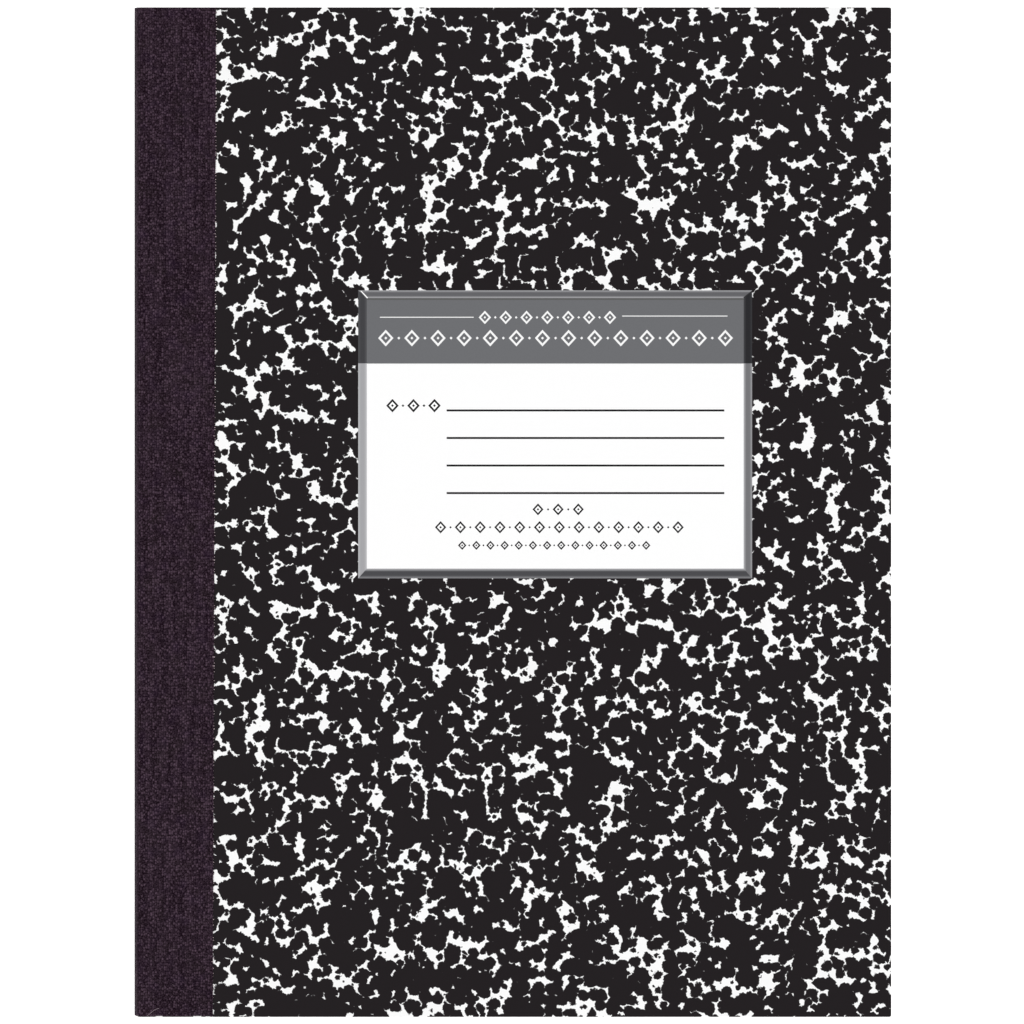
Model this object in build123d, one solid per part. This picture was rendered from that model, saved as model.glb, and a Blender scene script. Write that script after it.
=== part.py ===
from build123d import *
import os

# Sewn composition notebook, closed and lying on its back cover.
# Origin: middle of the outline, on the surface it lies on. +X to the fore-edge, +Y to the head, +Z up.
# All sizes are in millimetres.

os.makedirs("parts", exist_ok=True)

# Trimmed size of the whole notebook
notebook_width = 190.5
notebook_height = 254.0
corner_radius = 0.5

# Leaves: 80 of them, as 40 sheets folded at the middle and sewn through the fold
leaf_count = 80
leaf_thickness = 0.105
spine_bulge = 0.8

# Covers, from the inside out
pastedown_thickness = 0.12
board_thickness = 1.0
marbled_paper_thickness = 0.12

# Cloth tape over the spine. It was laid a little askew, and stops just short of the tail.
tape_thickness = 0.25
tape_bed = 0.05
tape_lap = 20.2
tape_skew = 0.8
tape_tail_gap = 0.25

# Label pasted on the front cover
label_width = 99.1
label_height = 72.45
label_thickness = 0.12
label_fore_margin = 35.0
label_head_margin = 71.2

# Sewing thread, in and out of the fold
thread_radius = 0.35
thread_clearance = 0.05
thread_bend_radius = 0.7
stitch_length = 10.0

# Least gap between the spine and a cover that is folded right back
open_cover_gap = 0.4


# Levels, from the table up
paper_level = tape_thickness - tape_bed
board_level = paper_level + marbled_paper_thickness
pastedown_level = board_level + board_thickness
leaves_level = pastedown_level + pastedown_thickness
leaves_thickness = leaf_count * leaf_thickness
leaves_top = leaves_level + leaves_thickness
middle_level = leaves_level + leaves_thickness / 2
notebook_thickness = 2 * middle_level
middle_plane = Plane.XY.offset(middle_level)

# Places across the notebook
fore_edge = notebook_width / 2
tape_outer_edge = -notebook_width / 2
fold_outer = tape_outer_edge + tape_thickness
board_edge = fold_outer + spine_bulge
head = notebook_height / 2
tail = -notebook_height / 2


def mirrored(piece):
    """The piece that faces this one on the other side of the leaves."""
    return mirror(piece, about=middle_plane)


def cover_sheet(bottom, thickness):
    """A sheet as large as a board, with its two fore-edge corners eased."""
    outline = Rectangle(
        fore_edge - board_edge, notebook_height, align=(Align.MIN, Align.CENTER)
    )
    sheet = Pos(board_edge, 0, bottom) * extrude(outline, thickness)
    corners = sheet.edges().filter_by(Axis.Z).group_by(Axis.X)[-1]
    return fillet(corners, corner_radius)


def spine_curve(offset):
    """The rounded back of the folded leaves, moved outwards by offset."""
    return ThreePointArc(
        (board_edge - offset, 0, leaves_level),
        (fold_outer - offset, 0, middle_level),
        (board_edge - offset, 0, leaves_top),
    )


def along_height(profile, low, high):
    """A profile drawn in XZ, swept from low to high along Y."""
    return Pos(0, high, 0) * extrude(profile, high - low, dir=(0, -1, 0))


def stitch_path(overrun):
    """In and out of the fold from tail to head, starting and ending inside it."""
    run_count = 2 * round((notebook_height / stitch_length - 1) / 2) + 1
    run = notebook_height / run_count
    inside = fold_outer + leaves_thickness / 2
    outside = fold_outer + thread_radius + thread_clearance / 4
    points = [(inside, tail - overrun, middle_level)]
    for index in range(1, run_count):
        before, after = (inside, outside) if index % 2 else (outside, inside)
        points.append((before, tail + index * run, middle_level))
        points.append((after, tail + index * run, middle_level))
    points.append((inside, head + overrun, middle_level))
    return FilletPolyline(*points, radius=thread_bend_radius)


def thread_solid(radius, overrun):
    """A round strand along the stitches."""
    path = stitch_path(overrun)
    start = Plane(origin=path @ 0, z_dir=path % 0)
    return sweep(start * Circle(radius), path=path)


def folded_leaves():
    """The leaves as one solid, with the holes and the channel that the thread lies in."""
    back = spine_curve(0)
    outline = back + Polyline(
        back @ 1,
        (fore_edge, 0, leaves_top),
        (fore_edge, 0, leaves_level),
        back @ 0,
    )
    leaves = along_height(make_face(outline), tail, head)
    return leaves - thread_solid(thread_radius + thread_clearance, overrun=1)


def tape_on_spine():
    """The tape where it covers the folded leaves."""
    inner, outer = spine_curve(0), spine_curve(tape_thickness)
    ends = [Line(inner @ 0, outer @ 0), Line(inner @ 1, outer @ 1)]
    return along_height(make_face([inner, outer, *ends]), tail + tape_tail_gap, head)


def tape_on_cover(lap_at_head, lap_at_tail):
    """The tape where it turns over the edge of the front cover and laps on to it."""
    low, high = tail + tape_tail_gap, head
    edge = board_edge - tape_thickness
    flat = make_face(
        Polyline(
            (edge, low),
            (tape_outer_edge + lap_at_tail, low),
            (tape_outer_edge + lap_at_head, high),
            (edge, high),
            close=True,
        )
    )
    lap = Pos(0, 0, notebook_thickness - tape_thickness) * extrude(flat, tape_thickness)
    turn = Pos(edge, (low + high) / 2, leaves_top) * Box(
        tape_thickness,
        high - low,
        notebook_thickness - leaves_top,
        align=(Align.MIN, Align.CENTER, Align.MIN),
    )
    tape = (lap + turn).clean()
    fold = tape.edges().filter_by(Axis.Y).group_by(Axis.Z)[-1].sort_by(Axis.X)[0]
    return fillet(fold, tape_thickness)


def label_sheet():
    """The label, flat on the front cover's paper."""
    outline = Rectangle(label_width, label_height, align=(Align.MAX, Align.MAX))
    place = Pos(
        fore_edge - label_fore_margin,
        head - label_head_margin,
        notebook_thickness - paper_level,
    )
    return place * extrude(outline, label_thickness)


front_lap = tape_on_cover(tape_lap + tape_skew / 2, tape_lap - tape_skew / 2)
back_lap = mirrored(
    tape_on_cover(tape_lap - tape_skew / 2, tape_lap + tape_skew / 2)
)
back_board = cover_sheet(board_level, board_thickness)
back_paper = cover_sheet(paper_level, marbled_paper_thickness)
back_pastedown = cover_sheet(pastedown_level, pastedown_thickness)

pieces = {
    "page_block": folded_leaves(),
    "sewing_thread": thread_solid(thread_radius, overrun=0),
    "spine_tape": tape_on_spine(),
    "tape_front_lap": front_lap,
    "tape_back_lap": back_lap,
    "front_board": mirrored(back_board),
    "back_board": back_board,
    "front_marbled_paper": mirrored(back_paper) - front_lap,
    "back_marbled_paper": back_paper - back_lap,
    "front_pastedown": mirrored(back_pastedown),
    "back_pastedown": back_pastedown,
    "cover_label": label_sheet(),
}

for name, piece in pieces.items():
    export_step(piece, f"parts/{name}.step")

# Each cover turns about a line beside its inner face. The line stands off the tape far enough for
# the cover, folded right back, to clear the bulge of the spine over the cover's own thickness.
cover_depth = notebook_thickness - leaves_top
half_leaves = leaves_thickness / 2
bulge_beside_cover = spine_bulge * (1 - ((half_leaves - cover_depth) / half_leaves) ** 2)
hinge_standoff = (bulge_beside_cover + open_cover_gap) / 2
hinge_x = board_edge - tape_thickness - hinge_standoff
print(f"front cover turns about x {hinge_x:.3f}, z {leaves_top:.3f}")
print(f"back cover turns about x {hinge_x:.3f}, z {leaves_level:.3f}")
print(f"notebook is {notebook_thickness:.3f} thick")
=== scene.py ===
"""The looks of a sewn composition notebook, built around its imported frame.

The boards, their papers and the thread keep their frame shapes and get finishes. The folded leaves,
the endpapers that turn from each cover on to the leaves, the cloth tape and the printing on the label
are meshes made here. Lengths named with _mm are in millimetres; every mesh is in metres.
"""

from __future__ import annotations

import logging
import math
import random
from dataclasses import dataclass
from enum import Enum
from typing import Any, Callable, Mapping, Optional, Sequence, Union

import bmesh
import bpy
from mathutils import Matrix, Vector


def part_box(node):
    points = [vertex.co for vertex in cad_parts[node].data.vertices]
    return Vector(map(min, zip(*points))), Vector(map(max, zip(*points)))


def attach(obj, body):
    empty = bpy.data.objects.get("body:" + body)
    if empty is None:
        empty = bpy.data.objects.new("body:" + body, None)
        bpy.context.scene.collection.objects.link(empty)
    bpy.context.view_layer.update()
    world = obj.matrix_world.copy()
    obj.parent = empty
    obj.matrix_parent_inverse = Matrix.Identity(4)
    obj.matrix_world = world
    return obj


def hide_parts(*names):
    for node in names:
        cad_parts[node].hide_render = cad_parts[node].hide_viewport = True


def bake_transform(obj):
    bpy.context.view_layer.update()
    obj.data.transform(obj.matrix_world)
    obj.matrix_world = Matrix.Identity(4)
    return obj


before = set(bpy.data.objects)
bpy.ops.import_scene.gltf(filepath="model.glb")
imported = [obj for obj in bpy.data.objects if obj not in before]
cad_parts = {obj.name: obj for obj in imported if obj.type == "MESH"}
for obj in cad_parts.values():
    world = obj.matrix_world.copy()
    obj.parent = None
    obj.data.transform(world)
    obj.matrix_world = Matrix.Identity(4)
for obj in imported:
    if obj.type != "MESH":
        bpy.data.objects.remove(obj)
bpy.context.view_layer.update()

MM = 0.001
Point2 = tuple[float, float]
Point3 = tuple[float, float, float]
Colour = tuple[float, float, float, float]

log = logging.getLogger("notebook")


def linear(red: int, green: int, blue: int) -> Colour:
    """Turn a screen colour into the linear colour that a shader takes.

    Args:
        red: Red, from 0 to 255.
        green: Green, from 0 to 255.
        blue: Blue, from 0 to 255.

    Returns:
        The linear colour, with an alpha of 1.
    """

    def channel(level: int) -> float:
        """One channel's linear level."""
        share = level / 255
        return share / 12.92 if share <= 0.04045 else ((share + 0.055) / 1.055) ** 2.4

    return (channel(red), channel(green), channel(blue), 1.0)


def grey(level: int) -> Colour:
    """The linear colour of a neutral grey."""
    return linear(level, level, level)


# ---------------------------------------------------------------------------
# Shader tools
# ---------------------------------------------------------------------------


class Value:
    """A shader socket that takes Python arithmetic, each operator adding its Math node."""

    def __init__(self, shader: "Shader", socket: bpy.types.NodeSocket) -> None:
        """Wrap a socket.

        Args:
            shader: The shader that the socket belongs to.
            socket: The output socket.
        """
        self.shader = shader
        self.socket = socket

    def math(self, operation: str, *terms: "Number") -> "Value":
        """Add a Math node.

        Args:
            operation: The node's operation.
            terms: Its inputs, in order.

        Returns:
            The node's result.
        """
        return self.shader.value("ShaderNodeMath", {"operation": operation}, dict(enumerate(terms)))

    def __add__(self, other: "Number") -> "Value":
        """Add."""
        return self.math("ADD", self, other)

    def __radd__(self, other: "Number") -> "Value":
        """Add to a number."""
        return self.math("ADD", other, self)

    def __sub__(self, other: "Number") -> "Value":
        """Subtract."""
        return self.math("SUBTRACT", self, other)

    def __rsub__(self, other: "Number") -> "Value":
        """Subtract from a number."""
        return self.math("SUBTRACT", other, self)

    def __mul__(self, other: "Number") -> "Value":
        """Multiply."""
        return self.math("MULTIPLY", self, other)

    def __rmul__(self, other: "Number") -> "Value":
        """Multiply a number."""
        return self.math("MULTIPLY", other, self)

    def __truediv__(self, other: "Number") -> "Value":
        """Divide."""
        return self.math("DIVIDE", self, other)

    def __rtruediv__(self, other: "Number") -> "Value":
        """Divide a number."""
        return self.math("DIVIDE", other, self)

    def __abs__(self) -> "Value":
        """The size without its sign."""
        return self.math("ABSOLUTE", self)

    def clamped(self) -> "Value":
        """The value held between 0 and 1."""
        return self.math("MINIMUM", self.math("MAXIMUM", self, 0.0), 1.0)


Number = Union[Value, float]


class Graph:
    """A node tree, of a material or of the world."""

    def __init__(self, tree: bpy.types.NodeTree) -> None:
        """Start with an empty tree.

        Args:
            tree: The tree.
        """
        self.tree = tree
        tree.nodes.clear()

    def node(
        self,
        kind: str,
        settings: Optional[Mapping[str, Any]] = None,
        inputs: Optional[Mapping[Union[str, int], Any]] = None,
    ) -> bpy.types.Node:
        """Add any node.

        Args:
            kind: The node's type.
            settings: Its settings, set before its sockets. "stops" gives a ramp's stops.
            inputs: Values or links, by socket name or number.

        Returns:
            The node.
        """
        made = self.tree.nodes.new(kind)
        for name, setting in (settings or {}).items():
            if name == "stops":
                self._set_stops(made, setting)
            else:
                setattr(made, name, setting)
        for key, given in (inputs or {}).items():
            if isinstance(given, Value):
                given = given.socket
            if isinstance(given, bpy.types.NodeSocket):
                self.tree.links.new(given, made.inputs[key])
            else:
                made.inputs[key].default_value = given
        return made

    @staticmethod
    def _set_stops(ramp: bpy.types.Node, stops: Sequence[tuple[float, Colour]]) -> None:
        """Give a ramp its stops.

        Args:
            ramp: The Color Ramp node.
            stops: A place from 0 to 1 and a colour for each.
        """
        elements = ramp.color_ramp.elements
        while len(elements) < len(stops):
            elements.new(1.0)
        for element, (place, colour) in zip(elements, stops):
            element.position = place
            element.color = colour

    def value(
        self,
        kind: str,
        settings: Optional[Mapping[str, Any]] = None,
        inputs: Optional[Mapping[Union[str, int], Any]] = None,
        output: Union[str, int] = 0,
    ) -> Value:
        """Add a node and take one of its outputs.

        Args:
            kind: The node's type.
            settings: Its settings.
            inputs: Values or links of its sockets.
            output: The output's name or number.

        Returns:
            That output.
        """
        return Value(self, self.node(kind, settings, inputs).outputs[output])

    def background_shown(self) -> Value:
        """Tell the rays that show the background to the camera, in a reflection or through glass.

        Returns:
            1 for such a ray, else 0.
        """
        rays = self.node("ShaderNodeLightPath").outputs
        kinds = ("Is Camera Ray", "Is Glossy Ray", "Is Transmission Ray")
        seen, mirrored, through = (Value(self, rays[kind]) for kind in kinds)
        return (seen + mirrored + through).clamped()


class Shader(Graph):
    """One material's node tree."""

    def __init__(self, name: str) -> None:
        """Start a material with a Principled surface.

        Args:
            name: The material's name.
        """
        self.material = bpy.data.materials.new(name)
        self.material.use_nodes = True
        super().__init__(self.material.node_tree)
        self.surface = self.node("ShaderNodeBsdfPrincipled")
        self.output = self.node("ShaderNodeOutputMaterial", {}, {"Surface": self.surface.outputs[0]})

    def place(self, attribute: Optional[str] = None) -> Value:
        """Where a point of the piece is at rest.

        Args:
            attribute: A mesh attribute that holds it, for a piece that bends.

        Returns:
            The place as a vector, in metres.
        """
        if attribute is None:
            return self.value("ShaderNodeTexCoord", output="Object")
        return self.value("ShaderNodeAttribute", {"attribute_name": attribute}, output="Vector")

    def axes(self, vector: Value) -> tuple[Value, Value, Value]:
        """The three numbers of a vector."""
        split = self.node("ShaderNodeSeparateXYZ", {}, {0: vector})
        return tuple(Value(self, socket) for socket in split.outputs)

    def moved(self, vector: Value, offset: Union[Value, Point3]) -> Value:
        """A vector with another added."""
        return self.value("ShaderNodeVectorMath", {"operation": "ADD"}, {0: vector, 1: offset})

    def stretched(self, vector: Value, factors: Point3) -> Value:
        """A vector with each of its numbers multiplied."""
        return self.value("ShaderNodeVectorMath", {"operation": "MULTIPLY"}, {0: vector, 1: factors})

    def noise(
        self, place: Value, size_mm: float, detail: float = 1.0, flat: bool = False, tinted: bool = False
    ) -> Value:
        """Soft noise.

        Args:
            place: Where the point is.
            size_mm: About how large its features are.
            detail: How many finer layers it has.
            flat: Whether it ignores height.
            tinted: Whether to give the three-number colour in place of the level.

        Returns:
            The noise, about 0.5 on average.
        """
        return self.value(
            "ShaderNodeTexNoise",
            {"noise_dimensions": "2D" if flat else "3D"},
            {"Vector": place, "Scale": 1 / (size_mm * MM), "Detail": detail},
            "Color" if tinted else "Fac",
        )

    def drifted(self, place: Value, reach_mm: float, size_mm: float, seed: float) -> Value:
        """A place pushed about by noise, which makes straight edges wander.

        Args:
            place: Where the point is.
            reach_mm: How far it may move, from one extreme to the other.
            size_mm: About how large the wanderings are.
            seed: Where in the noise to look.

        Returns:
            The new place.
        """
        wander = self.noise(self.moved(place, (seed, seed, 0.0)), size_mm, 1.0, flat=True, tinted=True)
        centred = self.moved(wander, (-0.5, -0.5, -0.5))
        reach = reach_mm * MM
        return self.moved(place, self.stretched(centred, (reach, reach, 0.0)))

    def mix(self, share: Number, first: Any, second: Any) -> Value:
        """Mix two colours.

        Args:
            share: How much of the second.
            first: A colour or a link.
            second: A colour or a link.

        Returns:
            The mixed colour.
        """
        return self.value(
            "ShaderNodeMix", {"data_type": "RGBA"}, {"Factor": share, 6: first, 7: second}, 2
        )

    def dress(
        self,
        colour: Any,
        roughness: Any,
        specular: float = 0.3,
        relief: Optional[Value] = None,
        relief_mm: float = 0.02,
        relief_strength: float = 0.5,
        sheen: float = 0.0,
    ) -> bpy.types.Material:
        """Connect the surface.

        Args:
            colour: Base colour, as a colour or a link.
            roughness: Roughness, as a number or a link.
            specular: How strongly it reflects.
            relief: Height from 0 to 1, for the bump.
            relief_mm: What a height of 1 stands for.
            relief_strength: How strongly the bump shows.
            sheen: How much soft fibre sheen it has.

        Returns:
            The finished material.
        """
        wanted = {"Base Color": colour, "Roughness": roughness, "Specular IOR Level": specular}
        if sheen:
            wanted |= {"Sheen Weight": sheen, "Sheen Roughness": 0.5}
        if relief is not None:
            wanted["Normal"] = self.value(
                "ShaderNodeBump",
                {},
                {"Height": relief, "Distance": relief_mm * MM, "Strength": relief_strength},
            )
        for name, given in wanted.items():
            if isinstance(given, Value):
                self.tree.links.new(given.socket, self.surface.inputs[name])
            else:
                self.surface.inputs[name].default_value = given
        return self.material


# ---------------------------------------------------------------------------
# Finishes
# ---------------------------------------------------------------------------


@dataclass(frozen=True)
class Drops:
    """One generation of ink drops on the marbling bath.

    Attributes:
        spacing_mm: The drops' usual distance apart.
        radius_mm: Their usual radius.
        spread_mm: How much the radius differs from drop to drop.
    """

    spacing_mm: float
    radius_mm: float
    spread_mm: float


@dataclass(frozen=True)
class Wander:
    """One scale at which the bath's currents push the ink about.

    Attributes:
        reach_mm: How far they push it.
        size_mm: About how large the currents are.
        seed: Where in the noise to look.
    """

    reach_mm: float
    size_mm: float
    seed: float


@dataclass(frozen=True)
class MarbledPaper:
    """Black marbling on white paper: the white is what the black drops leave between them.

    Attributes:
        name: The material's name.
        seed: Where in the pattern the sheet was taken.
        ink: The black.
        film: The black where the ink lies thinner.
        ground: The white.
        core: The paper at its cut edges.
        generations: The ink drops, oldest first.
        wanders: The bath's currents, largest first.
        merge_mm: How near two drops run together.
        flow_mm: The size of the smaller patches of more or less white.
        flow_gain_mm: How much they open or close the white.
        drift_mm: The size of the larger patches.
        drift_gain_mm: How much they open or close it.
        closing_mm: How much the drops have spread everywhere.
        edge_mm: How soft the ink's edge is.
    """

    name: str
    seed: float
    ink: Colour = linear(29, 25, 27)
    ground: Colour = grey(252)
    film: Colour = linear(44, 40, 41)
    core: Colour = linear(226, 222, 214)
    generations: tuple[Drops, ...] = (Drops(3.2, 1.70, 0.51), Drops(2.1, 0.83, 0.87))
    wanders: tuple[Wander, ...] = (
        Wander(1.07, 2.7, 3.1),
        Wander(0.42, 0.81, 7.7),
        Wander(0.55, 0.46, 12.9),
    )
    merge_mm: float = 0.41
    flow_mm: float = 2.55
    flow_gain_mm: float = 0.65
    drift_mm: float = 7.6
    drift_gain_mm: float = 1.3
    closing_mm: float = 0.045
    edge_mm: float = 0.12

    def material(self) -> bpy.types.Material:
        """Build the material.

        Returns:
            The finished material.
        """
        shader = Shader(self.name)
        flat = shader.place()
        start = shader.moved(flat, (self.seed, self.seed * 0.7, 0.0))
        bath = start
        for wander in self.wanders:
            bath = shader.drifted(bath, wander.reach_mm, wander.size_mm, wander.seed)
        clear: Optional[Value] = None
        for index, drops in enumerate(self.generations):
            gap = self._gap_beside(shader, bath, drops, 0.37 * (index + 1))
            clear = gap if clear is None else gap.math("SMOOTH_MIN", clear, gap, self.merge_mm)
        flow = shader.noise(start, self.flow_mm, 2.0, flat=True) - 0.5
        drift = shader.noise(start, self.drift_mm, 0.0, flat=True) - 0.5
        clear = clear + flow * self.flow_gain_mm + drift * self.drift_gain_mm - self.closing_mm
        bare = (clear / self.edge_mm + 0.5).clamped()
        printed = shader.mix(bare, self.ink, self.ground)
        mottle = shader.noise(flat, 14.0, 3.0)
        printed = shader.mix((mottle - 0.5).clamped() * 0.15, printed, self.film)
        normal = shader.value("ShaderNodeTexCoord", output="Normal")
        upright = abs(shader.axes(normal)[2])
        cut_edge = ((0.6 - upright) * 10.0).clamped()
        colour = shader.mix(cut_edge, printed, self.core)
        grain = shader.noise(flat, 0.35, 3.0)
        rough = 0.42 + bare * 0.12 + (grain - 0.5) * 0.15
        return shader.dress(
            colour, rough, specular=0.06, relief=grain, relief_mm=0.012, relief_strength=0.35
        )

    def _gap_beside(self, shader: Shader, bath: Value, drops: Drops, offset: float) -> Value:
        """How far a point is outside the nearest drop.

        Args:
            shader: The shader to add to.
            bath: Where the point is on the bath.
            drops: The generation of drops.
            offset: Where in the pattern this generation starts.

        Returns:
            The distance in millimetres, negative inside a drop.
        """
        cells = shader.node(
            "ShaderNodeTexVoronoi",
            {"voronoi_dimensions": "2D", "feature": "SMOOTH_F1"},
            {
                "Vector": shader.moved(bath, (offset, offset * 1.97, 0.0)),
                "Scale": 1 / (drops.spacing_mm * MM),
                "Smoothness": 0.15,
                "Randomness": 1.0,
            },
        )
        lot = shader.value("ShaderNodeSeparateColor", {}, {0: cells.outputs["Color"]})
        distance = Value(shader, cells.outputs["Distance"]) * drops.spacing_mm
        return distance - drops.radius_mm - (lot - 0.5) * drops.spread_mm


@dataclass(frozen=True)
class Chipboard:
    """Grey-brown board pressed from waste paper, seen at its cut edges."""

    name: str = "chipboard"
    light: Colour = linear(196, 187, 170)
    dark: Colour = linear(140, 129, 112)
    fleck: Colour = linear(96, 88, 78)

    def material(self) -> bpy.types.Material:
        """Build the material.

        Returns:
            The finished material.
        """
        shader = Shader(self.name)
        place = shader.place()
        layers = shader.noise(shader.stretched(place, (0.25, 0.25, 1.6)), 0.35, 4.0)
        flecks = shader.noise(place, 0.5, 2.0)
        share = ((layers - 0.35) * 2.4).clamped()
        colour = shader.mix(share, self.dark, self.light)
        colour = shader.mix(((flecks - 0.62) * 6.0).clamped() * 0.6, colour, self.fleck)
        return shader.dress(
            colour, 0.9, specular=0.15, relief=layers, relief_mm=0.06, relief_strength=0.6
        )


@dataclass(frozen=True)
class PlainPaper:
    """Uncoated paper, with a faint fibre grain.

    Attributes:
        name: The material's name.
        face: Its colour.
        edge: The colour of its cut edges.
        sheets: Whether it is a pile, whose sheets differ a little from one another.
        handled: The colour of its edges where they have been thumbed.
        attribute: The mesh attribute that holds the rest place, for a piece that bends.
    """

    name: str
    face: Colour
    edge: Colour
    sheets: bool = False
    handled: Colour = linear(203, 196, 182)
    attribute: Optional[str] = None

    def material(self) -> bpy.types.Material:
        """Build the material.

        Returns:
            The finished material.
        """
        shader = Shader(self.name)
        place = shader.place(self.attribute)
        cloud = shader.noise(place, 9.0, 3.0)
        fibre = shader.noise(place, 0.4, 3.0)
        tone = ((cloud - 0.5) * 0.25 + (fibre - 0.5) * 0.5 + 0.4).clamped()
        colour = shader.mix(tone, self.face, self.edge)
        if self.sheets:
            lot = shader.value("ShaderNodeNewGeometry", output="Random Per Island")
            colour = shader.mix(lot * 0.55, colour, self.edge)
            thumbed = shader.noise(shader.stretched(place, (1.0, 1.0, 3.0)), 22.0, 3.0)
            colour = shader.mix(((thumbed - 0.5) * 2.2).clamped() * 0.35, colour, self.handled)
        return shader.dress(
            colour, 0.82, specular=0.2, relief=fibre, relief_mm=0.015, relief_strength=0.3
        )


@dataclass(frozen=True)
class BookCloth:
    """Plum-black cloth tape: yarns that take the dye unevenly, with a brown and purple mottle, and painted
    shade in the hollows between yarns.

    Attributes:
        name: The material's name.
        attribute: The mesh attribute that holds the place along and up the strip.
        pitch_mm: The distance from yarn to yarn.
        shaded_hollow: The colour between yarns, darkened there as painted shade.
        yarn: The colour on their crowns.
        brown: The dye where it has gone brown.
        purple: The dye where it has gone purple.
    """

    name: str
    attribute: str
    pitch_mm: float = 0.58
    # Painted shade: the colour in the hollows between yarns.
    shaded_hollow: Colour = linear(12, 1, 9)
    yarn: Colour = linear(87, 69, 83)
    brown: Colour = linear(36, 32, 27)
    purple: Colour = linear(50, 33, 58)

    def material(self) -> bpy.types.Material:
        """Build the material.

        Returns:
            The finished material.
        """
        shader = Shader(self.name)
        strip = shader.place(self.attribute)
        loose = shader.drifted(strip, reach_mm=0.3, size_mm=1.1, seed=1.3)
        knots = shader.node(
            "ShaderNodeTexVoronoi",
            {"voronoi_dimensions": "2D", "feature": "F1"},
            {
                "Vector": shader.stretched(loose, (1.0, 0.85, 1.0)),
                "Scale": 1 / (self.pitch_mm * MM),
                "Randomness": 0.7,
            },
        )
        lot = shader.value("ShaderNodeSeparateColor", {}, {0: knots.outputs["Color"]})
        crown = (1.0 - Value(shader, knots.outputs["Distance"]) * 1.6).clamped()
        grain = shader.noise(strip, 0.33, 2.0)
        streak = shader.noise(shader.stretched(strip, (1.0, 0.07, 1.0)), 1.6, 2.0)
        height = crown * (0.15 + lot * lot) + (grain - 0.5) * 1.3 + (streak - 0.5) * 0.4 + 0.08
        height = height.clamped()
        # The tone follows the weave's height: painted shade darkens the hollows between yarns, while the lot,
        # grain and streak give real random tone.
        dye_and_shade = shader.mix(height, self.shaded_hollow, self.yarn)
        mottle = shader.noise(strip, 7.0, 3.0)
        dye_and_shade = shader.mix(((mottle - 0.5) * 3.0).clamped() * 0.3, dye_and_shade, self.brown)
        patches = shader.noise(shader.moved(strip, (0.3, 0.1, 0.0)), 4.0, 3.0)
        dye_and_shade = shader.mix(((patches - 0.5) * 3.0).clamped() * 0.25, dye_and_shade, self.purple)
        rough = 0.8 + (grain - 0.5) * 0.2
        return shader.dress(
            dye_and_shade, rough, specular=0.05, relief=height, relief_mm=0.08, relief_strength=0.5
        )


@dataclass(frozen=True)
class Yarn:
    """Cotton yarn with a twist."""

    name: str
    light: Colour
    dark: Colour

    def material(self) -> bpy.types.Material:
        """Build the material.

        Returns:
            The finished material.
        """
        shader = Shader(self.name)
        place = shader.place()
        strands = shader.noise(shader.stretched(place, (1.0, 0.4, 1.0)), 0.25, 2.0)
        colour = shader.mix(strands, self.dark, self.light)
        return shader.dress(
            colour, 0.85, specular=0.2, relief=strands, relief_mm=0.05, relief_strength=0.5
        )


@dataclass(frozen=True)
class Printing:
    """Ink on the label: one tone, a little uneven where the paper took it.

    Attributes:
        name: The material's name.
        tone: The ink's colour.
    """

    name: str
    tone: Colour

    def material(self) -> bpy.types.Material:
        """Build the material.

        Returns:
            The finished material.
        """
        shader = Shader(self.name)
        place = shader.place()
        grain = shader.noise(place, 0.45, 3.0)
        worn = tuple(min(1.0, channel * 1.06 + 0.002) for channel in self.tone[:3]) + (1.0,)
        colour = shader.mix(((grain - 0.4) * 1.6).clamped(), self.tone, worn)
        return shader.dress(
            colour, 0.5, specular=0.1, relief=grain, relief_mm=0.01, relief_strength=0.3
        )


class Side(Enum):
    """The four sides of the label's printed frame: an axis, and which end of it."""

    LEFT = (0, -1)
    RIGHT = (0, 1)
    TAIL = (1, -1)
    HEAD = (1, 1)


@dataclass(frozen=True)
class Bevel:
    """Three greys that make a flat printed side look bevelled, from its outer edge inwards.

    Attributes:
        rim: The grey at its outer edge.
        face: The grey of its middle.
        lip: The grey at its inner edge.
        face_from: Where the face starts, as a share of the width.
        face_to: Where the face ends.
        cool: How much bluer than neutral the ink is.
    """

    rim: int
    face: int
    lip: int
    face_from: float = 0.3
    face_to: float = 0.7
    cool: int = 3

    def across(self, shader: Shader, share: Value) -> Value:
        """The tone at a place across the side.

        Args:
            shader: The shader to add to.
            share: The place, from 0 at the outer edge to 1 at the inner one.

        Returns:
            The colour.
        """
        places = (0.0, self.face_from, self.face_to, 1.0)
        levels = (self.rim, self.face, self.face, self.lip)
        stops = [(at, linear(tone, tone, tone + self.cool)) for at, tone in zip(places, levels)]
        return shader.value("ShaderNodeValToRGB", {"stops": stops}, {0: share})


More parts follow.
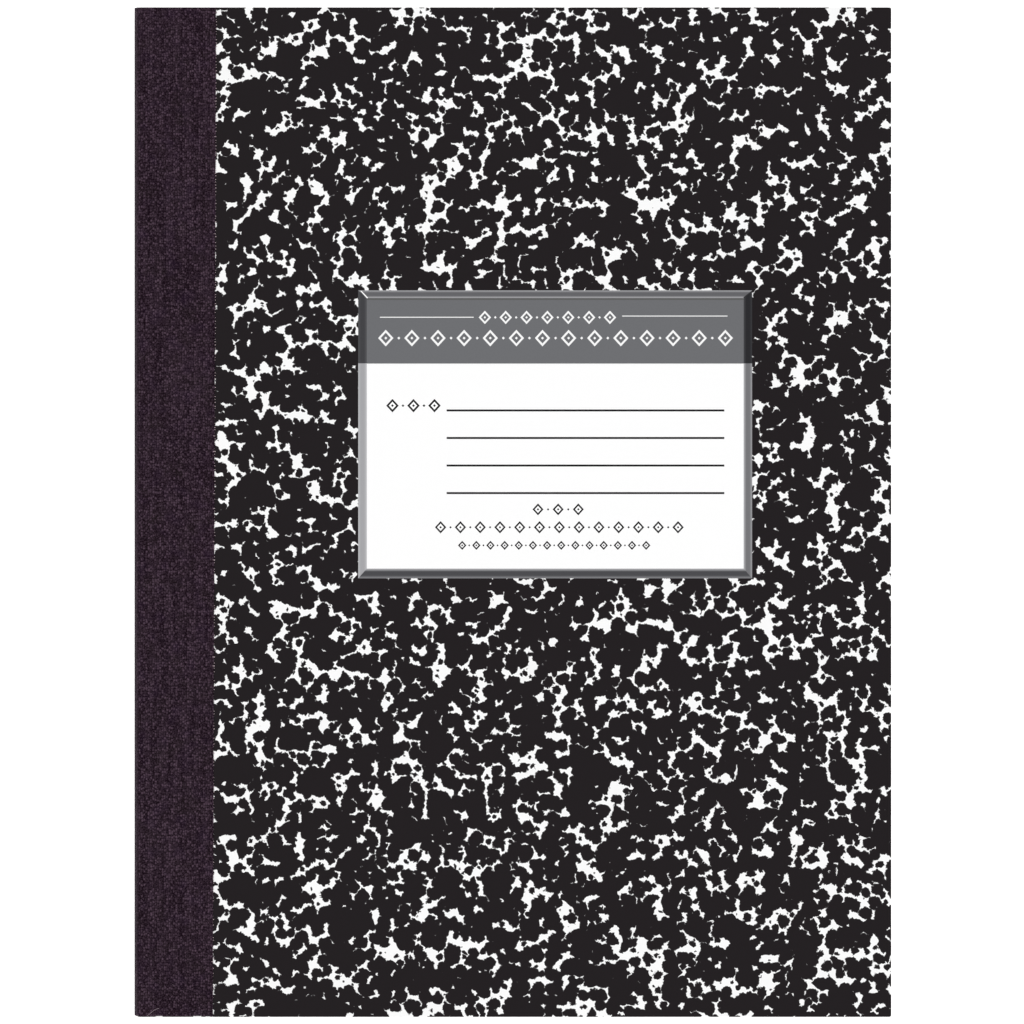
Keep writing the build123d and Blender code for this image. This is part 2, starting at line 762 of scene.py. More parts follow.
@dataclass(frozen=True)
class BevelPrinting:
    """One side of the printed frame, toned across its width so that it looks bevelled.

    Attributes:
        name: The material's name.
        side: Which side it is.
        outer_mm: Where the label's outer edge is on that side's axis.
        width_mm: The frame's width.
        bevel: Its tones.
        header_bevel: Its tones beside the header, or none.
        header_mm: Where the header ends, along Y.
        turn_mm: Over what length one changes to the other.
    """

    name: str
    side: Side
    outer_mm: float
    width_mm: float
    bevel: Bevel
    header_bevel: Optional[Bevel] = None
    header_mm: float = 0.0
    turn_mm: float = 0.1

    def material(self) -> bpy.types.Material:
        """Build the material.

        Returns:
            The finished material.
        """
        shader = Shader(self.name)
        place = shader.place()
        axis, end = self.side.value
        inwards = (self.outer_mm * MM - shader.axes(place)[axis]) * end
        share = (inwards / (self.width_mm * MM)).clamped()
        colour = self.bevel.across(shader, share)
        if self.header_bevel is not None:
            past = shader.axes(place)[1] - self.header_mm * MM
            in_header = (past / (self.turn_mm * MM)).clamped()
            colour = shader.mix(in_header, colour, self.header_bevel.across(shader, share))
        grain = shader.noise(place, 0.45, 3.0)
        return shader.dress(
            colour, 0.5, specular=0.1, relief=grain, relief_mm=0.01, relief_strength=0.3
        )


# ---------------------------------------------------------------------------
# Mesh tools
# ---------------------------------------------------------------------------


def add_piece(
    name: str,
    points: Sequence[Point3],
    faces: Sequence[Sequence[int]],
    materials: Sequence[bpy.types.Material],
    indices: Optional[Sequence[int]] = None,
    smooth: bool = False,
) -> bpy.types.Object:
    """Make a piece from points and faces.

    Args:
        name: The piece's name.
        points: Its points, in millimetres.
        faces: Its faces, as numbers of points.
        materials: Its material slots.
        indices: Which slot each face has.
        smooth: Whether it is shaded smooth.

    Returns:
        The piece, linked to the scene.
    """
    mesh = bpy.data.meshes.new(name)
    mesh.from_pydata([(x * MM, y * MM, z * MM) for x, y, z in points], [], faces)
    for material in materials:
        mesh.materials.append(material)
    if indices is not None:
        mesh.polygons.foreach_set("material_index", indices)
    mesh.polygons.foreach_set("use_smooth", [smooth] * len(faces))
    mesh.update()
    piece = bpy.data.objects.new(name, mesh)
    bpy.context.scene.collection.objects.link(piece)
    return piece


def store_rest(piece: bpy.types.Object, name: str, places: Sequence[Point3]) -> None:
    """Keep a place for each point, which stays when the piece bends.

    Args:
        piece: The piece.
        name: The attribute's name.
        places: One place for each point, in millimetres.
    """
    attribute = piece.data.attributes.new(name, "FLOAT_VECTOR", "POINT")
    attribute.data.foreach_set("vector", [number * MM for place in places for number in place])


def offset_line(line: Sequence[Point2], distance: float) -> list[Point2]:
    """Move an open line sideways.

    Args:
        line: Its points.
        distance: How far, to the right of its direction.

    Returns:
        The moved points.
    """
    moved = []
    for index, (x, z) in enumerate(line):
        before = line[max(index - 1, 0)]
        after = line[min(index + 1, len(line) - 1)]
        run, rise = after[0] - before[0], after[1] - before[1]
        length = math.hypot(run, rise)
        moved.append((x + rise / length * distance, z - run / length * distance))
    return moved


def bend(centre: Point2, radius: float, start_deg: float, end_deg: float, steps: int) -> list[Point2]:
    """Points along an arc.

    Args:
        centre: The arc's centre.
        radius: Its radius.
        start_deg: Where it starts, in degrees from +X.
        end_deg: Where it ends.
        steps: How many steps it takes.

    Returns:
        Its points, ends included.
    """
    angles = [math.radians(start_deg + (end_deg - start_deg) * i / steps) for i in range(steps + 1)]
    return [(centre[0] + radius * math.cos(a), centre[1] + radius * math.sin(a)) for a in angles]


def strip_faces(columns: int, rows: int) -> list[tuple[int, ...]]:
    """Quads of a closed shell whose columns go round its section and whose rows go along it.

    Args:
        columns: Points round the section.
        rows: Sections along the shell.

    Returns:
        The side faces and the two end caps.
    """
    faces = []
    for row in range(rows - 1):
        for column in range(columns):
            after = (column + 1) % columns
            a, b = row * columns + column, row * columns + after
            faces.append((a, b, b + columns, a + columns))
    faces.append(tuple(reversed(range(columns))))
    faces.append(tuple(range((rows - 1) * columns, rows * columns)))
    return faces


def section_caps(count: int, first: int, turned: bool) -> list[tuple[int, int, int, int]]:
    """Quads that close a folded section, between its outer and its inner line.

    Args:
        count: Points along each line.
        first: The number of the section's first point.
        turned: Whether the cap faces the other way.

    Returns:
        The quads.
    """
    quads = []
    for index in range(count - 1):
        outer, inner = first + index, first + 2 * count - 1 - index
        quad = (outer, outer + 1, inner - 1, inner)
        quads.append(tuple(reversed(quad)) if turned else quad)
    return quads


def folded_shell(count: int, rows: int) -> list[tuple[int, ...]]:
    """Faces of a shell whose section is an outer line and, back again, an inner line.

    Args:
        count: Points along each line.
        rows: Sections along the shell.

    Returns:
        The faces, with the ends closed.
    """
    columns = 2 * count
    faces = strip_faces(columns, rows)[:-2]
    faces += section_caps(count, 0, turned=True)
    faces += section_caps(count, (rows - 1) * columns, turned=False)
    return faces


def make_outward(piece: bpy.types.Object) -> None:
    """Turn a piece's faces outwards.

    Args:
        piece: The piece.
    """
    mesh = bmesh.new()
    mesh.from_mesh(piece.data)
    bmesh.ops.recalc_face_normals(mesh, faces=mesh.faces)
    mesh.to_mesh(piece.data)
    mesh.free()


# ---------------------------------------------------------------------------
# Sub-assemblies
# ---------------------------------------------------------------------------


@dataclass(frozen=True)
class Layout:
    """The notebook's main places, read from the frame, in millimetres."""

    fore_edge: float
    head: float
    tail: float
    board_edge: float
    fold_outer: float
    tape_outer: float
    leaves_low: float
    leaves_high: float
    paper_top: float
    tape_top: float
    tape_tail: float
    lap_edge_head: float

    @classmethod
    def from_frame(cls) -> "Layout":
        """Read the frame.

        Returns:
            The places.
        """

        def ends(node: str) -> tuple[Vector, Vector]:
            """The two corners of a node's box, in millimetres."""
            low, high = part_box(node)
            return low / MM, high / MM

        block_low, block_high = ends("page_block")
        board_low, _ = ends("front_board")
        tape_low, _ = ends("spine_tape")
        lap_low, lap_high = ends("tape_front_lap")
        _, paper_high = ends("front_marbled_paper")
        return cls(
            fore_edge=block_high.x,
            head=block_high.y,
            tail=block_low.y,
            board_edge=board_low.x,
            fold_outer=block_low.x,
            tape_outer=tape_low.x,
            leaves_low=block_low.z,
            leaves_high=block_high.z,
            paper_top=paper_high.z,
            tape_top=lap_high.z,
            tape_tail=lap_low.y,
            lap_edge_head=lap_high.x,
        )

    @property
    def middle(self) -> float:
        """Half way up the notebook."""
        return (self.leaves_low + self.leaves_high) / 2

    @property
    def half(self) -> float:
        """Half the thickness of the leaves."""
        return (self.leaves_high - self.leaves_low) / 2

    @property
    def tape_thickness(self) -> float:
        """How thick the tape is."""
        return self.fold_outer - self.tape_outer

    @property
    def bulge(self) -> float:
        """How far the spine swells."""
        return self.board_edge - self.fold_outer


@dataclass
class FoldedLeaves:
    """The folded sheets inside the endpapers, nested in one another."""

    layout: Layout
    sheets: int = 39
    flyleaf_mm: float = 0.1
    fill: float = 0.84
    trim_mm: float = 0.05
    corner_mm: float = 0.55
    seed: int = 11
    finish: PlainPaper = PlainPaper(
        "leaf_paper", linear(248, 247, 242), linear(222, 218, 208), sheets=True
    )

    def section(self, sheet: int, pitch: float, trims: Point2) -> list[Point2]:
        """The middle line of one folded sheet, across the notebook.

        Args:
            sheet: Its number, from the outermost.
            pitch: The distance from sheet to sheet.
            trims: How far its two leaves stop short of the fore-edge.

        Returns:
            The line in XZ, from the upper leaf's fore-edge round to the lower leaf's.
        """
        place = self.layout
        depth = self.flyleaf_mm + (sheet + 0.5) * pitch
        reach = place.half - depth
        corner = min(self.corner_mm, reach * 0.9)

        def fold(height: float) -> float:
            """How far out the fold is at a height above the middle."""
            return place.fold_outer + depth + place.bulge * (height / place.half) ** 2

        start = fold(reach - corner) + corner
        upper = bend((start, place.middle + reach - corner), corner, 90, 180, 4)
        lower = bend((start, place.middle - reach + corner), corner, 180, 270, 4)
        inner = reach - corner
        steps = 6
        back = [
            (fold(inner - 2 * inner * i / steps), place.middle + inner - 2 * inner * i / steps)
            for i in range(1, steps)
        ]
        line = [(place.fore_edge - trims[0], place.middle + reach)]
        line += upper + back + lower
        line.append((place.fore_edge - trims[1], place.middle - reach))
        return line

    def build(self) -> bpy.types.Object:
        """Build the pile of sheets.

        Returns:
            The piece.
        """
        draw = random.Random(self.seed)
        place = self.layout
        pitch = (place.half - self.flyleaf_mm) / self.sheets
        points: list[Point3] = []
        faces: list[tuple[int, ...]] = []
        for sheet in range(self.sheets):
            trims = (draw.uniform(0, self.trim_mm), draw.uniform(0, self.trim_mm))
            line = self.section(sheet, pitch, trims)
            half = pitch * self.fill / 2 * draw.uniform(0.9, 1.08)
            loop = offset_line(line, -half) + list(reversed(offset_line(line, half)))
            ends = (
                place.tail + draw.uniform(0, self.trim_mm),
                place.head - draw.uniform(0, self.trim_mm),
            )
            first = len(points)
            for end in ends:
                points += [(x, end, z) for x, z in loop]
            faces += [tuple(first + i for i in face) for face in folded_shell(len(line), 2)]
        piece = add_piece("folded_leaves", points, faces, [self.finish.material()])
        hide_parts("page_block")
        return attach(piece, "text_block")


@dataclass
class Endpaper:
    """A sheet that lines one cover, folds at the spine and becomes the leaf next to it.

    No point of the fold is level with the hinge.
    """

    layout: Layout
    front: bool
    thickness_mm: float = 0.07
    gap_mm: float = 0.06
    slack_mm: float = 0.04
    trim_mm: float = 0.03
    fold_steps: int = 9
    switch_mm: float = 0.004
    attribute: str = "rest_place"

    def build(self) -> bpy.types.Object:
        """Build the sheet.

        Returns:
            The piece.
        """
        place = self.layout
        side = "front" if self.front else "back"
        up = 1 if self.front else -1
        level = place.leaves_high if self.front else place.leaves_low
        half = self.thickness_mm / 2
        radius = (self.thickness_mm + self.gap_mm) / 2
        leaf, lining = level - up * radius, level + up * radius
        centre = (place.board_edge - self.slack_mm + radius + half, level)
        start = -90.0 if self.front else 90.0
        turn = bend(centre, radius, start, start - up * 180, self.fold_steps)
        far = place.fore_edge - self.trim_mm
        runs = [far - (far - centre[0] - 1.0) * share for share in (0, 0.25, 0.5, 0.75, 0.97, 1.0)]
        line = [(x, leaf) for x in runs] + turn + [(x, lining) for x in reversed(runs)]
        loop = offset_line(line, -half) + list(reversed(offset_line(line, half)))
        rows = [place.tail + self.trim_mm, place.head - self.trim_mm]
        points = [(x, y, z) for y in rows for x, z in loop]
        faces = folded_shell(len(line), len(rows))
        finish = PlainPaper(
            f"{side}_endpaper", linear(248, 247, 242), linear(238, 235, 228), attribute=self.attribute
        )
        piece = add_piece(f"{side}_endpaper", points, faces, [finish.material()])
        store_rest(piece, self.attribute, [(x, y, z * 40) for x, y, z in points])
        make_outward(piece)
        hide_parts(f"{side}_pastedown")
        (level - up * self.switch_mm) * MM
        (level + up * self.switch_mm) * MM
        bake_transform(piece)
        return piece


@dataclass
class ClothTape:
    """Half of the cloth tape: from the middle of the spine, round one board's edge and on to its cover.

    It has a slight bead at the hinge. No point of it is nearer the hinge's level than the bridge.
    """

    layout: Layout
    front: bool
    skew_mm: float = 0.8
    bead_mm: float = 0.2
    bead_reach_mm: float = 0.7
    bridge_mm: float = 0.2
    corner_mm: float = 0.4
    row_mm: float = 1.5
    ragged_mm: float = 0.05
    yarn_pitch_mm: float = 0.76
    yarn_tucked_mm: float = 0.35
    yarn_sides: int = 6
    attribute: str = "along_tape"

    @property
    def side(self) -> str:
        """Which cover this half laps on to."""
        return "front" if self.front else "back"

    def lap_edge(self, y: float) -> float:
        """Where the cut edge is; it runs a little askew.

        Args:
            y: The place along the notebook's height.

        Returns:
            Its place along X.
        """
        place = self.layout
        share = (place.head - y) / (place.head - place.tape_tail)
        askew = share if self.front else 1 - share
        return place.lap_edge_head - self.skew_mm * askew

    def profile(self) -> list[Point2]:
        """The outer face from mid-spine to the start of the lap.

        Returns:
            Its points in XZ, as for the front.
        """
        place = self.layout
        hinge = place.leaves_high
        spine = []
        steps = 26
        for index in range(steps + 1):
            height = (place.half - self.bridge_mm) * (index / steps) ** 0.8
            spine.append((place.tape_outer + place.bulge * (height / place.half) ** 2, place.middle + height))
        edge = place.board_edge - place.tape_thickness
        top = place.tape_top - self.corner_mm
        foot = hinge + self.bridge_mm
        wall = [(edge, foot + (top - foot) * index / 8) for index in range(9)]
        corner = bend((edge + self.corner_mm, top), self.corner_mm, 180, 90, 8)[1:]
        line = spine + wall + corner
        beaded = []
        for x, z in line:
            near = max(0.0, 1 - abs(z - hinge) / self.bead_reach_mm)
            beaded.append((x - self.bead_mm * near * near * (3 - 2 * near), z))
        return beaded

    def build(self) -> bpy.types.Object:
        """Build this half of the tape, with the pale yarn ends along its cut edge.

        Returns:
            The piece.
        """
        place = self.layout
        draw = random.Random(5 if self.front else 6)
        outer = self.profile()
        inner = offset_line(outer, place.tape_thickness)
        flats = 10
        count = len(outer) + flats
        rows = round((place.head - place.tape_tail) / self.row_mm) + 1
        points: list[Point3] = []
        rests: list[Point3] = []
        for row in range(rows):
            y = place.tape_tail + (place.head - place.tape_tail) * row / (rows - 1)
            lap = self.lap_edge(y) + draw.uniform(-1, 1) * self.ragged_mm
            lines = []
            for line in (outer, inner):
                x0, z0 = line[-1]
                run = [(x0 + (lap - x0) * (i / flats), z0) for i in range(1, flats + 1)]
                lines.append(line + run)
            loop = lines[0] + list(reversed(lines[1]))
            travelled = self._travel(lines[0])
            lengths = travelled + list(reversed(travelled))
            for (x, z), length in zip(loop, lengths):
                height = z if self.front else 2 * place.middle - z
                points.append((x, y, height))
                rests.append((length if self.front else -length, y, 0.0))
        faces = folded_shell(count, rows)
        if self.front:
            faces = [tuple(reversed(face)) for face in faces]
        indices = [0] * len(faces)
        yarn_points, yarn_faces = self._yarn_ends(draw)
        first = len(points)
        points += yarn_points
        rests += yarn_points
        faces += [tuple(first + i for i in face) for face in yarn_faces]
        indices += [1] * len(yarn_faces)
        cloth = BookCloth(f"{self.side}_book_cloth", self.attribute)
        undyed = Yarn(f"{self.side}_undyed_yarn", linear(226, 206, 210), linear(150, 128, 136))
        name = f"{self.side}_half_of_tape"
        piece = add_piece(name, points, faces, [cloth.material(), undyed.material()], indices, True)
        store_rest(piece, self.attribute, rests)
        shade_sharp_edges(piece, 50)
        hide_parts("spine_tape", f"tape_{self.side}_lap")
        up = 1 if self.front else -1
        level = place.leaves_high if self.front else place.leaves_low
        (level - up * self.bridge_mm / 4) * MM
        (level + up * self.bridge_mm / 4) * MM
        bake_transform(piece)
        return piece

    def _travel(self, line: Sequence[Point2]) -> list[float]:
        """Measure along a line.

        Args:
            line: Its points.

        Returns:
            The distance from its start at each of them.
        """
        travelled = [0.0]
        for before, after in zip(line, line[1:]):
            travelled.append(travelled[-1] + math.dist(before, after))
        return travelled

    def _yarn_ends(self, draw: random.Random) -> tuple[list[Point3], list[tuple[int, ...]]]:
        """Short ends of the weft that show along the cut edge.

        Args:
            draw: The source of their small differences.

        Returns:
            Their points and faces.
        """
        place = self.layout
        points: list[Point3] = []
        faces: list[tuple[int, ...]] = []
        sides, pitch, tucked = self.yarn_sides, self.yarn_pitch_mm, self.yarn_tucked_mm
        span = place.head - place.tape_tail
        for index in range(1, int(span / pitch)):
            y = place.tape_tail + index * pitch + draw.uniform(-0.12, 0.12)
            share = (y - place.tape_tail) / span
            showing = draw.random() < 0.35 + 0.6 * share
            reach = draw.uniform(0.12, 0.3) if showing else draw.uniform(0.0, 0.04)
            radius = draw.uniform(0.07, 0.11)
            edge, lean = self.lap_edge(y), draw.uniform(-0.15, 0.15)
            first = len(points)
            z = place.paper_top + radius
            height = z if self.front else 2 * place.middle - z
            rings = ((edge - tucked, radius), (edge + reach * 0.7, radius), (edge + reach, radius * 0.5))
            for end, (x, size) in enumerate(rings):
                for side in range(sides):
                    angle = 2 * math.pi * side / sides
                    points.append(
                        (x, y + lean * end * 0.3 + size * math.cos(angle), height + size * math.sin(angle))
                    )
            faces += [tuple(first + i for i in face) for face in strip_faces(sides, 3)]
        return points, faces


def shade_sharp_edges(piece: bpy.types.Object, limit_deg: float) -> None:
    """Shade smooth, but keep edges sharper than a limit.

    Args:
        piece: The piece.
        limit_deg: The limit, in degrees.
    """
    mesh = piece.data
    mesh.update()
    normals = [polygon.normal.copy() for polygon in mesh.polygons]
    owners: dict[tuple[int, int], list[int]] = {}
    for polygon in mesh.polygons:
        for key in polygon.edge_keys:
            owners.setdefault(key, []).append(polygon.index)
    sharp = []
    for edge in mesh.edges:
        faces = owners.get(edge.key, [])
        turn = normals[faces[0]].angle(normals[faces[1]], 0.0) if len(faces) == 2 else 0.0
        sharp.append(turn > math.radians(limit_deg))
    mesh.edges.foreach_set("use_edge_sharp", sharp)


@dataclass
class LooseFibre:
    """A stray pale fibre that lies on the tape near the tail, with a few specks of lint."""

    layout: Layout
    thickness_mm: float = 0.11
    specks_mm: tuple[Point2, ...] = ((10.0, -110.0), (9.8, -118.9), (8.8, -126.1), (15.4, -44.5))

    def build(self) -> bpy.types.Object:
        """Build the fibre.

        Returns:
            The piece.
        """
        place = self.layout
        left, low, top = place.tape_outer, place.tail, place.tape_top
        route = [
            (left + 3.3, low + 0.3, 0.02),
            (left + 4.1, low + 0.9, 0.1),
            (left + 5.0, low + 1.7, 0.14),
            (left + 5.9, low + 2.1, 0.06),
            (left + 6.3, low + 2.15, 0.0),
        ]
        curve = bpy.data.curves.new("loose_fibre", "CURVE")
        curve.dimensions = "3D"
        curve.bevel_depth = self.thickness_mm / 2 * MM
        curve.bevel_resolution = 2
        curve.use_fill_caps = True
        spline = curve.splines.new("NURBS")
        spline.points.add(len(route) - 1)
        for point, (x, y, rise) in zip(spline.points, route):
            height = top + self.thickness_mm / 2 + rise
            point.co = (x * MM, y * MM, height * MM, 1.0)
        spline.order_u = 3
        spline.use_endpoint_u = True
        for x, y in self.specks_mm:
            speck = curve.splines.new("POLY")
            speck.points.add(1)
            for point, shift in zip(speck.points, (-0.07, 0.07)):
                point.co = ((left + x + shift) * MM, y * MM, (top + 0.03) * MM, 1.0)
        finish = Yarn("lint", linear(168, 150, 160), linear(120, 104, 114))
        curve.materials.append(finish.material())
        piece = bpy.data.objects.new("loose_fibre", curve)
        bpy.context.scene.collection.objects.link(piece)
        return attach(piece, "front_cover")


@dataclass
class LabelPrinting:
    """What is printed on the label: a toned frame, a grey header, writing rules and plain ornaments.

    Places are measured from the label's left edge and down from its top edge.
    """

    frame_left_mm: float = 2.17
    frame_right_mm: float = 2.13
    frame_head_mm: float = 1.92
    frame_tail_mm: float = 2.45
    head_shade_mm: float = 0.5
    header_mm: float = 18.42
    rule_start_mm: float = 22.25
    rule_length_mm: float = 69.85
    rule_first_mm: float = 30.21
    rule_pitch_mm: float = 6.93
    rule_mm: float = 0.5
    rule_count: int = 4
    film_mm: float = 0.012

    def __post_init__(self) -> None:
        """Read the label's place from the frame."""
        low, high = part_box("cover_label")
        self.left, self.top = low.x / MM, high.y / MM
        self.width, self.height = (high.x - low.x) / MM, (high.y - low.y) / MM
        self.level = high.z / MM

    def at(self, across: float, down: float) -> Point2:
        """A place on the label, in the notebook's own frame."""
        return (self.left + across, self.top - down)

    def print_shapes(
        self, name: str, shapes: Sequence[Sequence[Point2]], finish: Any, layer: int = 1
    ) -> bpy.types.Object:
        """Lay a film of ink in one or more shapes.

        Args:
            name: The piece's name.
            shapes: Outlines, as places on the label.
            finish: The ink.
            layer: How many films up it lies.

        Returns:
            The piece.
        """
        points: list[Point3] = []
        faces: list[tuple[int, ...]] = []
        low = self.level + self.film_mm * (layer - 1)
        for shape in shapes:
            outline = [self.at(*corner) for corner in shape]
            first, count = len(points), len(outline)
            for height in (low, low + self.film_mm):
                points += [(x, y, height) for x, y in outline]
            faces += [tuple(first + i for i in face) for face in strip_faces(count, 2)]
        piece = add_piece(name, points, faces, [finish.material()])
        make_outward(piece)
        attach(piece, "front_cover")
        log.info("piece %s", name)
        return piece

    @staticmethod
    def bar(across: float, down: float, length: float, thickness: float) -> list[Point2]:
        """A rule that runs to the right.

        Args:
            across: Where it starts.
            down: How far down its middle is.
            length: Its length.
            thickness: Its thickness.

        Returns:
            Its outline.
        """
        half = thickness / 2
        return [
            (across, down - half),
            (across + length, down - half),
            (across + length, down + half),
            (across, down + half),
        ]

    @staticmethod
    def lozenge(across: float, down: float, size: Point2) -> list[Point2]:
        """A lozenge.

        Args:
            across: Where its centre is.
            down: How far down its centre is.
            size: Its width and height.

        Returns:
            Its outline.
        """
        width, height = size
        return [
            (across, down - height / 2),
            (across + width / 2, down),
            (across, down + height / 2),
            (across - width / 2, down),
        ]

    def open_lozenge(self, across: float, down: float, size: Point2, stroke: float) -> list[list[Point2]]:
        """A lozenge that is open inside.

        Args:
            across: Where its centre is.
            down: How far down its centre is.
            size: Its width and height.
            stroke: How thick its strokes are.

        Returns:
            The outlines of its four strokes.
        """
        outer = self.lozenge(across, down, size)
        shrink = 1 - stroke * 2 * math.hypot(*size) / (size[0] * size[1])
        inner = self.lozenge(across, down, (size[0] * shrink, size[1] * shrink))
        return [
            [outer[i], outer[(i + 1) % 4], inner[(i + 1) % 4], inner[i]] for i in range(4)
        ]

    def border(self, centre: Point2, length: float, height: float, stroke: float) -> list[list[Point2]]:
        """A row of open lozenges with a bead in each and one between neighbours.

        Args:
            centre: The row's middle.
            length: How long the row is.
            height: How high it is.
            stroke: How thick its strokes are.

        Returns:
            The outlines.
        """
        shapes: list[list[Point2]] = []
        size = (height * 0.92, height)
        count = max(2, round(length / (height * 1.5)))
        pitch = (length - size[0]) / (count - 1)
        bead = (stroke * 1.5, stroke * 1.5)
        start = centre[0] - pitch * (count - 1) / 2
        for index in range(count):
            across = start + index * pitch
            shapes += self.open_lozenge(across, centre[1], size, stroke)
            shapes.append(self.lozenge(across, centre[1], bead))
            if index < count - 1:
                shapes.append(self.lozenge(across + pitch / 2, centre[1], bead))
        return shapes

    def frame_side(self, side: Side) -> list[Point2]:
        """One side of the frame, mitred at its corners.

        Args:
            side: Which side.

        Returns:
            Its outline.
        """
        outer = {
            "head_left": (0.0, 0.0),
            "head_right": (self.width, 0.0),
            "tail_right": (self.width, self.height),
            "tail_left": (0.0, self.height),
        }
        inner = {
            "head_left": (self.frame_left_mm, self.frame_head_mm),
            "head_right": (self.width - self.frame_right_mm, self.frame_head_mm),
            "tail_right": (self.width - self.frame_right_mm, self.height - self.frame_tail_mm),
            "tail_left": (self.frame_left_mm, self.height - self.frame_tail_mm),
        }
        first, second = {
            Side.HEAD: ("head_left", "head_right"),
            Side.RIGHT: ("head_right", "tail_right"),
            Side.TAIL: ("tail_right", "tail_left"),
            Side.LEFT: ("tail_left", "head_left"),
        }[side]
        return [outer[first], outer[second], inner[second], inner[first]]

    def build_frame(self) -> None:
        """Print the four toned sides and the two marked mitres."""
        header = self.top - self.header_mm
        right_edge, tail_edge = self.left + self.width, self.top - self.height
        sides = (
            BevelPrinting(
                "label_frame_left",
                Side.LEFT,
                self.left,
                self.frame_left_mm,
                Bevel(rim=186, face=166, lip=194),
                Bevel(rim=78, face=62, lip=84),
                header,
            ),
            BevelPrinting(
                "label_frame_right",
                Side.RIGHT,
                right_edge,
                self.frame_right_mm,
                Bevel(rim=156, face=116, lip=182),
                Bevel(rim=52, face=34, lip=66),
                header,
            ),
            BevelPrinting(
                "label_frame_tail", Side.TAIL, tail_edge, self.frame_tail_mm, Bevel(rim=132, face=72, lip=180)
            ),
            BevelPrinting(
                "label_frame_head", Side.HEAD, self.top, self.frame_head_mm, Bevel(rim=164, face=98, lip=168)
            ),
        )
        for side in sides:
            self.print_shapes(side.name, [self.frame_side(side.side)], side)
        left, right, inset = self.frame_left_mm, self.width - self.frame_right_mm, self.frame_head_mm
        bright = [
            (0.5, 0.12),
            (0.85, 0.12),
            (left + 0.25, inset - 0.15),
            (left + 0.2, inset + 0.1),
            (left - 0.1, inset),
        ]
        self.print_shapes("label_mitre_light", [bright], Printing("mitre_light", grey(246)), 2)
        dark = [(self.width - 0.1, 0.1), (self.width, 0.3), (right + 0.1, inset), (right - 0.1, inset - 0.15)]
        self.print_shapes("label_mitre_dark", [dark], Printing("mitre_dark", grey(44)), 2)

    def build_header(self) -> None:
        """Print the grey header with its two fine rules and its ornaments."""
        left, right = self.frame_left_mm, self.width - self.frame_right_mm
        top, shade = self.frame_head_mm, self.frame_head_mm + self.head_shade_mm
        ground = [(left, shade), (right, shade), (right, self.header_mm), (left, self.header_mm)]
        self.print_shapes("label_header", [ground], Printing("header_grey", linear(107, 108, 111)))
        under = [(left, top), (right, top), (right, shade), (left, shade)]
        self.print_shapes("label_header_shade", [under], Printing("header_shade", grey(93)))
        fine = 0.22
        shapes = [self.bar(5.45, 6.76, 23.6, fine), self.bar(66.4, 6.46, 26.5, fine)]
        shapes += self.border((47.6, 6.8), 34.6, 3.4, 0.44)
        shapes += self.border((49.65, 12.0), 89.3, 4.2, 0.5)
        self.print_shapes("label_header_ornament", shapes, Printing("header_light", grey(248)), 2)

    def build_rules(self) -> None:
        """Print the writing rules and the dark ornaments."""
        shapes = [
            self.bar(
                self.rule_start_mm,
                self.rule_first_mm + index * self.rule_pitch_mm,
                self.rule_length_mm,
                self.rule_mm,
            )
            for index in range(self.rule_count)
        ]
        shapes += self.border((13.9, 29.0), 13.7, 3.4, 0.46)
        shapes += self.border((50.3, 55.1), 12.9, 3.0, 0.4)
        shapes += self.border((50.6, 59.6), 62.6, 3.1, 0.4)
        shapes += self.border((49.3, 64.15), 48.4, 2.3, 0.34)
        self.print_shapes("label_rules", shapes, Printing("rule_black", linear(20, 18, 20)))

    def build(self) -> None:
        """Print the whole label."""
        self.build_frame()
        self.build_header()
        self.build_rules()


def finish_frame_nodes() -> None:
    """Give each frame node that keeps its shape its finish."""
    board = Chipboard().material()
    finishes = {
        "front_board": board,
        "back_board": board,
        "front_marbled_paper": MarbledPaper("front_marbling", seed=0.0).material(),
        "back_marbled_paper": MarbledPaper("back_marbling", seed=0.9).material(),
        "cover_label": PlainPaper("label_stock", grey(255), grey(254)).material(),
        "sewing_thread": Yarn("linen_thread", linear(238, 235, 226), linear(205, 200, 188)).material(),
    }
    for node, material in finishes.items():
        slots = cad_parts[node].material_slots
        for slot in slots:
            slot.material = material
        log.info("frame node %s finished", node)


# ---------------------------------------------------------------------------
# Stage
# ---------------------------------------------------------------------------


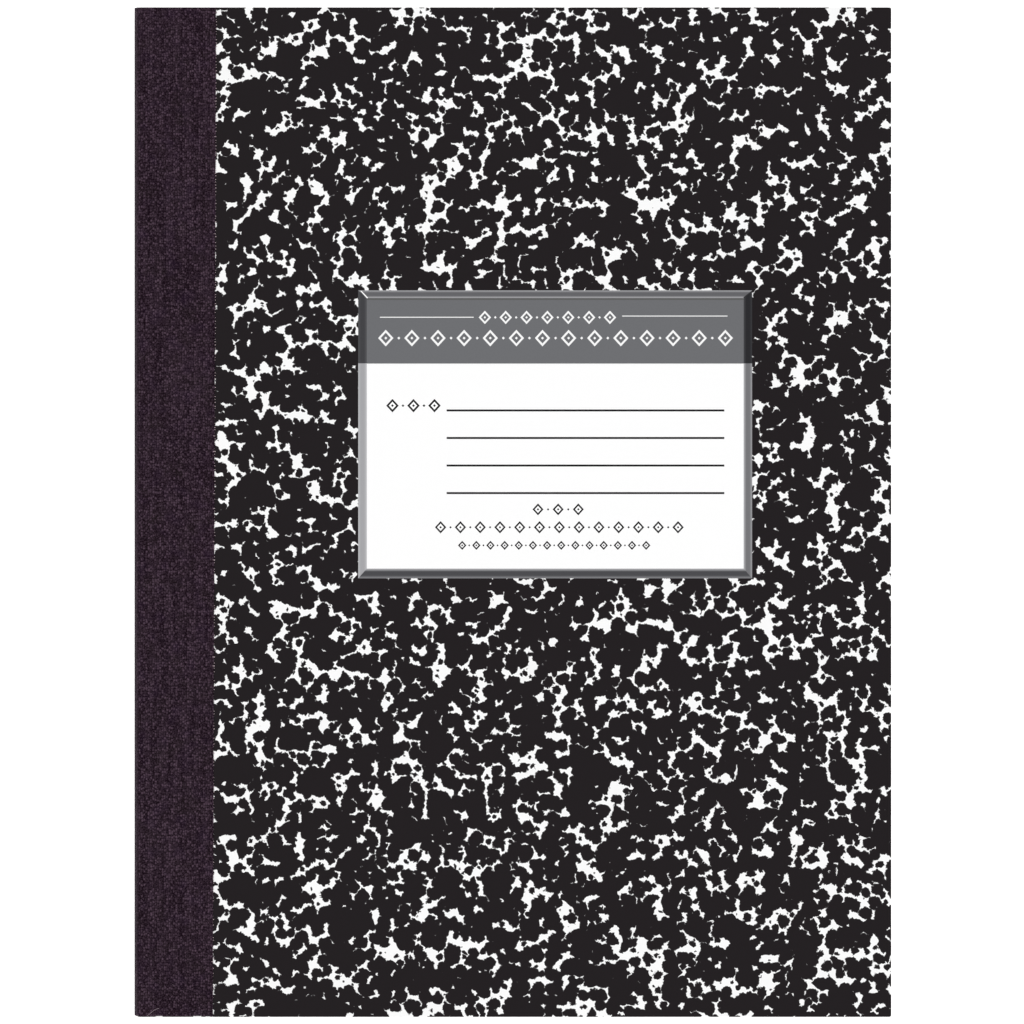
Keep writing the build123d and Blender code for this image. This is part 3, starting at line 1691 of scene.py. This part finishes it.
@dataclass
class Studio:
    """A pale floor, soft lights and a camera that looks straight down."""

    layout: Layout
    lens_mm: float = 600.0
    sensor_mm: float = 36.0
    view_mm: float = 257.64
    shift_x_mm: float = -0.16
    shift_y_mm: float = 0.04
    floor_m: float = 6.0
    lamp_m: float = 1.1
    lamp_watts: float = 8.35
    sky_strength: float = 0.29

    def build(self) -> None:
        """Build the whole stage."""
        self.add_floor()
        self.add_lights()
        self.add_camera()

    def add_floor(self) -> None:
        """Add the floor, which shows white but keeps the notebook's shadow."""
        half = self.floor_m / 2
        corners = [(-half, -half, 0), (half, -half, 0), (half, half, 0), (-half, half, 0)]
        mesh = bpy.data.meshes.new("floor")
        mesh.from_pydata(corners, [], [(0, 1, 2, 3)])
        floor = bpy.data.objects.new("floor", mesh)
        floor.location.z = -0.0002
        bpy.context.scene.collection.objects.link(floor)
        shader = Shader("pale_floor")
        glow = shader.node("ShaderNodeEmission", {}, {"Color": grey(255), "Strength": 0.7})
        matt = shader.node("ShaderNodeBsdfDiffuse", {}, {"Color": grey(240)})
        seen = shader.node("ShaderNodeAddShader", {}, {0: glow.outputs[0], 1: matt.outputs[0]})
        shown = shader.node(
            "ShaderNodeMixShader",
            {},
            {0: shader.background_shown(), 1: matt.outputs[0], 2: seen.outputs[0]},
        )
        shader.tree.links.new(shown.outputs[0], shader.output.inputs["Surface"])
        shader.tree.nodes.remove(shader.surface)
        mesh.materials.append(shader.material)

    def add_lights(self) -> None:
        """Add four soft boxes round the notebook and a dim even sky."""
        for index, (x, y) in enumerate(((-1, 0.45), (0.5, 1), (1, -0.45), (-0.5, -1))):
            lamp = bpy.data.lights.new(f"softbox_{index}", "AREA")
            lamp.shape = "SQUARE"
            lamp.size = self.lamp_m
            lamp.energy = self.lamp_watts
            box = bpy.data.objects.new(lamp.name, lamp)
            box.location = (x * 1.1, y * 1.1, 1.25)
            box.rotation_euler = (-box.location).to_track_quat("-Z", "Y").to_euler()
            bpy.context.scene.collection.objects.link(box)
        world = bpy.data.worlds.new("even_sky")
        bpy.context.scene.world = world
        world.use_nodes = True
        graph = Graph(world.node_tree)
        sky = graph.node("ShaderNodeBackground", {}, {"Color": grey(255), "Strength": self.sky_strength})
        backdrop = graph.node("ShaderNodeBackground", {}, {"Color": grey(255), "Strength": 1.0})
        chosen = graph.node(
            "ShaderNodeMixShader",
            {},
            {0: graph.background_shown(), 1: sky.outputs[0], 2: backdrop.outputs[0]},
        )
        graph.node("ShaderNodeOutputWorld", {}, {0: chosen.outputs[0]})

    def add_camera(self) -> None:
        """Add the camera, far above, with a long lens."""
        distance = self.view_mm * self.lens_mm / self.sensor_mm
        data = bpy.data.cameras.new("camera")
        data.lens = self.lens_mm
        data.sensor_width = self.sensor_mm
        data.clip_start = 0.01
        camera = bpy.data.objects.new("camera", data)
        camera.location = (
            self.shift_x_mm * MM,
            self.shift_y_mm * MM,
            (self.layout.paper_top + distance) * MM,
        )
        bpy.context.scene.collection.objects.link(camera)
        bpy.context.scene.camera = camera
        bpy.context.scene.view_settings.view_transform = "Standard"


def main() -> None:
    """Build the notebook and its stage."""
    logging.basicConfig(level=logging.INFO, format="%(name)s: %(message)s")
    layout = Layout.from_frame()
    finish_frame_nodes()
    builders: list[Callable[[], bpy.types.Object]] = [FoldedLeaves(layout).build]
    for front in (True, False):
        builders += [Endpaper(layout, front).build, ClothTape(layout, front).build]
    builders.append(LooseFibre(layout).build)
    for build in builders:
        piece = build()
        log.info("piece %s", piece.name)
    LabelPrinting().build()
    Studio(layout).build()


if __name__ == "__main__":
    main()
